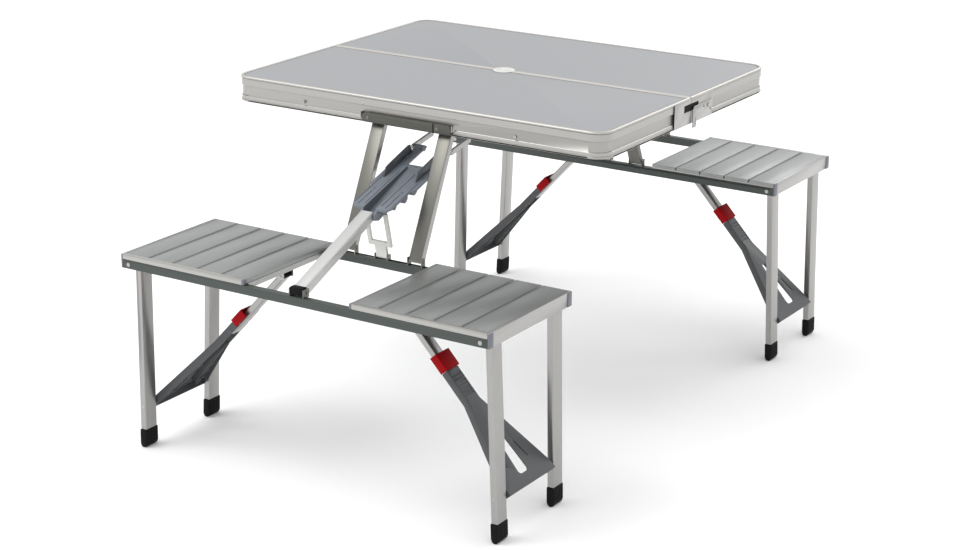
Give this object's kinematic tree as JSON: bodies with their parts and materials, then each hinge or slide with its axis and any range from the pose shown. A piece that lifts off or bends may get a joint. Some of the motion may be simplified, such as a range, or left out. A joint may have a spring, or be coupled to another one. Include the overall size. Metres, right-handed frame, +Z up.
{
  "type": "folding picnic table with benches",
  "caption": "Portable folding picnic table: two-part framed top with slatted benches on folding bars, splayed folding legs, braces and a carry handle.",
  "frame": {"origin": "on the ground under the middle of the seam of the table top", "axes": "+Z up, X along the seam and the benches, -Y toward the front bench with the carry handle"},
  "size_m": [0.8595, 1.4228, 0.6879],
  "materials": {
    "panel_coated_grey": "matt light grey coated panel",
    "aluminium_silver": "satin silver aluminium profile and tube",
    "rail_dark_green_grey": "dark green-grey anodised tube",
    "seat_brushed_grey": "brushed grey slats with silver edge trims",
    "bar_steel_grey": "bright grey plated steel",
    "brace_dark_plastic": "dark grey ribbed plastic",
    "hub_blue_grey_plastic": "blue-grey plastic",
    "lock_red_plastic": "red plastic",
    "white_plastic": "white plastic",
    "foot_black_rubber": "black ribbed rubber",
    "handle_olive_grey": "dark olive-grey plastic strap"
  },
  "bodies": {
    "front_table": {"front_frame": "aluminium_silver", "front_top_panel": "panel_coated_grey", "front_latch_plate": "aluminium_silver"},
    "back_table": {"back_frame": "aluminium_silver", "back_top_panel": "panel_coated_grey", "back_latch_plate": "aluminium_silver"},
    "handle": {"carry_handle": "handle_olive_grey"},
    "hasp": {"latch_hasp": "bar_steel_grey"},
    "cap": {"umbrella_cap": "white_plastic"},
    "front_bars": {"front_left_bar": "bar_steel_grey", "front_right_bar": "bar_steel_grey"},
    "front_bench": {"front_inner_rail": "rail_dark_green_grey", "front_outer_rail": "rail_dark_green_grey", "front_left_seat": "seat_brushed_grey", "front_left_end_profile": "aluminium_silver", "front_right_seat": "seat_brushed_grey", "front_right_end_profile": "aluminium_silver"},
    "front_tube": {"front_diagonal_tube": "aluminium_silver"},
    "front_slider": {"front_hub": "hub_blue_grey_plastic"},
    "front_strut_pair": {"front_struts": "aluminium_silver"},
    "front_bail_arm": {"front_bail": "white_plastic"},
    "front_left_legs": {"front_left_leg_frame": "aluminium_silver", "front_left_outer_foot": "foot_black_rubber", "front_left_inner_foot": "foot_black_rubber"},
    "front_left_stay": {"front_left_stay_tube": "aluminium_silver"},
    "front_left_tray": {"front_left_brace": "brace_dark_plastic"},
    "front_left_latch": {"front_left_lock": "lock_red_plastic"},
    "front_right_legs": {"front_right_leg_frame": "aluminium_silver", "front_right_outer_foot": "foot_black_rubber", "front_right_inner_foot": "foot_black_rubber"},
    "front_right_stay": {"front_right_stay_tube": "aluminium_silver"},
    "front_right_tray": {"front_right_brace": "brace_dark_plastic"},
    "front_right_latch": {"front_right_lock": "lock_red_plastic"},
    "back_bars": {"back_left_bar": "bar_steel_grey", "back_right_bar": "bar_steel_grey"},
    "back_bench": {"back_inner_rail": "rail_dark_green_grey", "back_outer_rail": "rail_dark_green_grey", "back_left_seat": "seat_brushed_grey", "back_left_end_profile": "aluminium_silver", "back_right_seat": "seat_brushed_grey", "back_right_end_profile": "aluminium_silver"},
    "back_tube": {"back_diagonal_tube": "aluminium_silver"},
    "back_slider": {"back_hub": "hub_blue_grey_plastic"},
    "back_strut_pair": {"back_struts": "aluminium_silver"},
    "back_bail_arm": {"back_bail": "white_plastic"},
    "back_left_legs": {"back_left_leg_frame": "aluminium_silver", "back_left_outer_foot": "foot_black_rubber", "back_left_inner_foot": "foot_black_rubber"},
    "back_left_stay": {"back_left_stay_tube": "aluminium_silver"},
    "back_left_tray": {"back_left_brace": "brace_dark_plastic"},
    "back_left_latch": {"back_left_lock": "lock_red_plastic"},
    "back_right_legs": {"back_right_leg_frame": "aluminium_silver", "back_right_outer_foot": "foot_black_rubber", "back_right_inner_foot": "foot_black_rubber"},
    "back_right_stay": {"back_right_stay_tube": "aluminium_silver"},
    "back_right_tray": {"back_right_brace": "brace_dark_plastic"},
    "back_right_latch": {"back_right_lock": "lock_red_plastic"}
  },
  "joints": [
    {"name": "table_close", "type": "hinge", "parent": "front_table", "child": "back_table", "pos_m": [0, 0, 0.635], "axis": [-1, 0, 0], "range_deg": [0, 50]},
    {"name": "handle_swing", "type": "hinge", "parent": "front_table", "child": "handle", "pos_m": [0, -0.3446, 0.65], "axis": [-1, 0, 0], "range_deg": [0, 90]},
    {"name": "hasp_lift", "type": "hinge", "parent": "back_table", "child": "hasp", "pos_m": [0.43, 0.069, 0.66], "axis": [-1, 0, 0], "range_deg": [0, 60]},
    {"name": "cap_lift", "type": "slide", "parent": "front_table", "child": "cap", "axis": [0, 0, 1], "range_m": [0, 0.03]},
    {"name": "front_bench_fold", "type": "hinge", "parent": "front_table", "child": "front_bars", "pos_m": [0, -0.315, 0.662], "axis": [1, 0, 0], "range_deg": [0, 75]},
    {"name": "front_bench_level", "type": "hinge", "parent": "front_bars", "child": "front_bench", "pos_m": [0, -0.433, 0.4085], "axis": [1, 0, 0], "range_deg": [-75, 0]},
    {"name": "front_tube_tilt", "type": "hinge", "parent": "front_bench", "child": "front_tube", "pos_m": [0, -0.697, 0.4065], "axis": [1, 0, 0], "range_deg": [0, 4.7]},
    {"name": "front_hub_slide", "type": "slide", "parent": "front_tube", "child": "front_slider", "axis": [0, -0.9198, -0.3923], "range_m": [0, 0.1455]},
    {"name": "front_strut_swing", "type": "hinge", "parent": "front_table", "child": "front_strut_pair", "pos_m": [0, -0.18, 0.655], "axis": [1, 0, 0], "range_deg": [0, 118.3]},
    {"name": "front_bail_swing", "type": "hinge", "parent": "front_bench", "child": "front_bail_arm", "pos_m": [0, -0.4345, 0.405], "axis": [1, 0, 0], "range_deg": [0, 70]},
    {"name": "front_left_leg_fold", "type": "hinge", "parent": "front_bench", "child": "front_left_legs", "pos_m": [-0.3985, -0.5693, 0.3905], "axis": [0, -1, 0], "range_deg": [0, 90]},
    {"name": "front_left_stay_swing", "type": "hinge", "parent": "front_bench", "child": "front_left_stay", "pos_m": [-0.132, -0.5693, 0.38], "axis": [0, -1, 0], "range_deg": [-44.5, 0]},
    {"name": "front_left_knee", "type": "hinge", "parent": "front_left_stay", "child": "front_left_tray", "pos_m": [-0.2559, -0.5693, 0.2467], "axis": [0, -1, 0], "range_deg": [0, 180]},
    {"name": "front_left_lock_slide", "type": "slide", "parent": "front_left_tray", "child": "front_left_latch", "axis": [-0.6808, 0, -0.7325], "range_m": [0, 0.018]},
    {"name": "front_right_leg_fold", "type": "hinge", "parent": "front_bench", "child": "front_right_legs", "pos_m": [0.3985, -0.5693, 0.3905], "axis": [0, 1, 0], "range_deg": [0, 90]},
    {"name": "front_right_stay_swing", "type": "hinge", "parent": "front_bench", "child": "front_right_stay", "pos_m": [0.132, -0.5693, 0.38], "axis": [0, 1, 0], "range_deg": [-44.5, 0]},
    {"name": "front_right_knee", "type": "hinge", "parent": "front_right_stay", "child": "front_right_tray", "pos_m": [0.2559, -0.5693, 0.2467], "axis": [0, 1, 0], "range_deg": [0, 180]},
    {"name": "front_right_lock_slide", "type": "slide", "parent": "front_right_tray", "child": "front_right_latch", "axis": [0.6808, 0, -0.7325], "range_m": [0, 0.018]},
    {"name": "back_bench_fold", "type": "hinge", "parent": "back_table", "child": "back_bars", "pos_m": [0, 0.315, 0.662], "axis": [-1, 0, 0], "range_deg": [0, 75]},
    {"name": "back_bench_level", "type": "hinge", "parent": "back_bars", "child": "back_bench", "pos_m": [0, 0.433, 0.4085], "axis": [-1, 0, 0], "range_deg": [-75, 0]},
    {"name": "back_tube_tilt", "type": "hinge", "parent": "back_bench", "child": "back_tube", "pos_m": [0, 0.697, 0.4065], "axis": [-1, 0, 0], "range_deg": [0, 4.7]},
    {"name": "back_hub_slide", "type": "slide", "parent": "back_tube", "child": "back_slider", "axis": [0, 0.9198, -0.3923], "range_m": [0, 0.1455]},
    {"name": "back_strut_swing", "type": "hinge", "parent": "back_table", "child": "back_strut_pair", "pos_m": [0, 0.18, 0.655], "axis": [-1, 0, 0], "range_deg": [0, 118.3]},
    {"name": "back_bail_swing", "type": "hinge", "parent": "back_bench", "child": "back_bail_arm", "pos_m": [0, 0.4345, 0.405], "axis": [-1, 0, 0], "range_deg": [0, 70]},
    {"name": "back_left_leg_fold", "type": "hinge", "parent": "back_bench", "child": "back_left_legs", "pos_m": [-0.3985, 0.5693, 0.3905], "axis": [0, -1, 0], "range_deg": [0, 90]},
    {"name": "back_left_stay_swing", "type": "hinge", "parent": "back_bench", "child": "back_left_stay", "pos_m": [-0.132, 0.5693, 0.38], "axis": [0, -1, 0], "range_deg": [-44.5, 0]},
    {"name": "back_left_knee", "type": "hinge", "parent": "back_left_stay", "child": "back_left_tray", "pos_m": [-0.2559, 0.5693, 0.2467], "axis": [0, -1, 0], "range_deg": [0, 180]},
    {"name": "back_left_lock_slide", "type": "slide", "parent": "back_left_tray", "child": "back_left_latch", "axis": [-0.6808, 0, -0.7325], "range_m": [0, 0.018]},
    {"name": "back_right_leg_fold", "type": "hinge", "parent": "back_bench", "child": "back_right_legs", "pos_m": [0.3985, 0.5693, 0.3905], "axis": [0, 1, 0], "range_deg": [0, 90]},
    {"name": "back_right_stay_swing", "type": "hinge", "parent": "back_bench", "child": "back_right_stay", "pos_m": [0.132, 0.5693, 0.38], "axis": [0, 1, 0], "range_deg": [-44.5, 0]},
    {"name": "back_right_knee", "type": "hinge", "parent": "back_right_stay", "child": "back_right_tray", "pos_m": [0.2559, 0.5693, 0.2467], "axis": [0, 1, 0], "range_deg": [0, 180]},
    {"name": "back_right_lock_slide", "type": "slide", "parent": "back_right_tray", "child": "back_right_latch", "axis": [0.6808, 0, -0.7325], "range_m": [0, 0.018]}
  ],
  "couplings": [
    {"joint": "front_bench_level", "follows": "front_bench_fold", "ratio": -1},
    {"joint": "front_tube_tilt", "follows": "front_bench_fold", "ratio": 0.062},
    {"joint": "front_hub_slide", "follows": "front_bench_fold", "m_per_rad": 0.1108},
    {"joint": "front_strut_swing", "follows": "front_bench_fold", "ratio": 1.5754},
    {"joint": "front_bail_swing", "follows": "front_bench_fold", "ratio": 0.93},
    {"joint": "front_left_stay_swing", "follows": "front_left_leg_fold", "ratio": -0.4933},
    {"joint": "front_left_knee", "follows": "front_left_leg_fold", "ratio": 2},
    {"joint": "front_right_stay_swing", "follows": "front_right_leg_fold", "ratio": -0.4933},
    {"joint": "front_right_knee", "follows": "front_right_leg_fold", "ratio": 2},
    {"joint": "back_bench_level", "follows": "back_bench_fold", "ratio": -1},
    {"joint": "back_tube_tilt", "follows": "back_bench_fold", "ratio": 0.062},
    {"joint": "back_hub_slide", "follows": "back_bench_fold", "m_per_rad": 0.1108},
    {"joint": "back_strut_swing", "follows": "back_bench_fold", "ratio": 1.5754},
    {"joint": "back_bail_swing", "follows": "back_bench_fold", "ratio": 0.93},
    {"joint": "back_left_stay_swing", "follows": "back_left_leg_fold", "ratio": -0.4933},
    {"joint": "back_left_knee", "follows": "back_left_leg_fold", "ratio": 2},
    {"joint": "back_right_stay_swing", "follows": "back_right_leg_fold", "ratio": -0.4933},
    {"joint": "back_right_knee", "follows": "back_right_leg_fold", "ratio": 2}
  ]
}
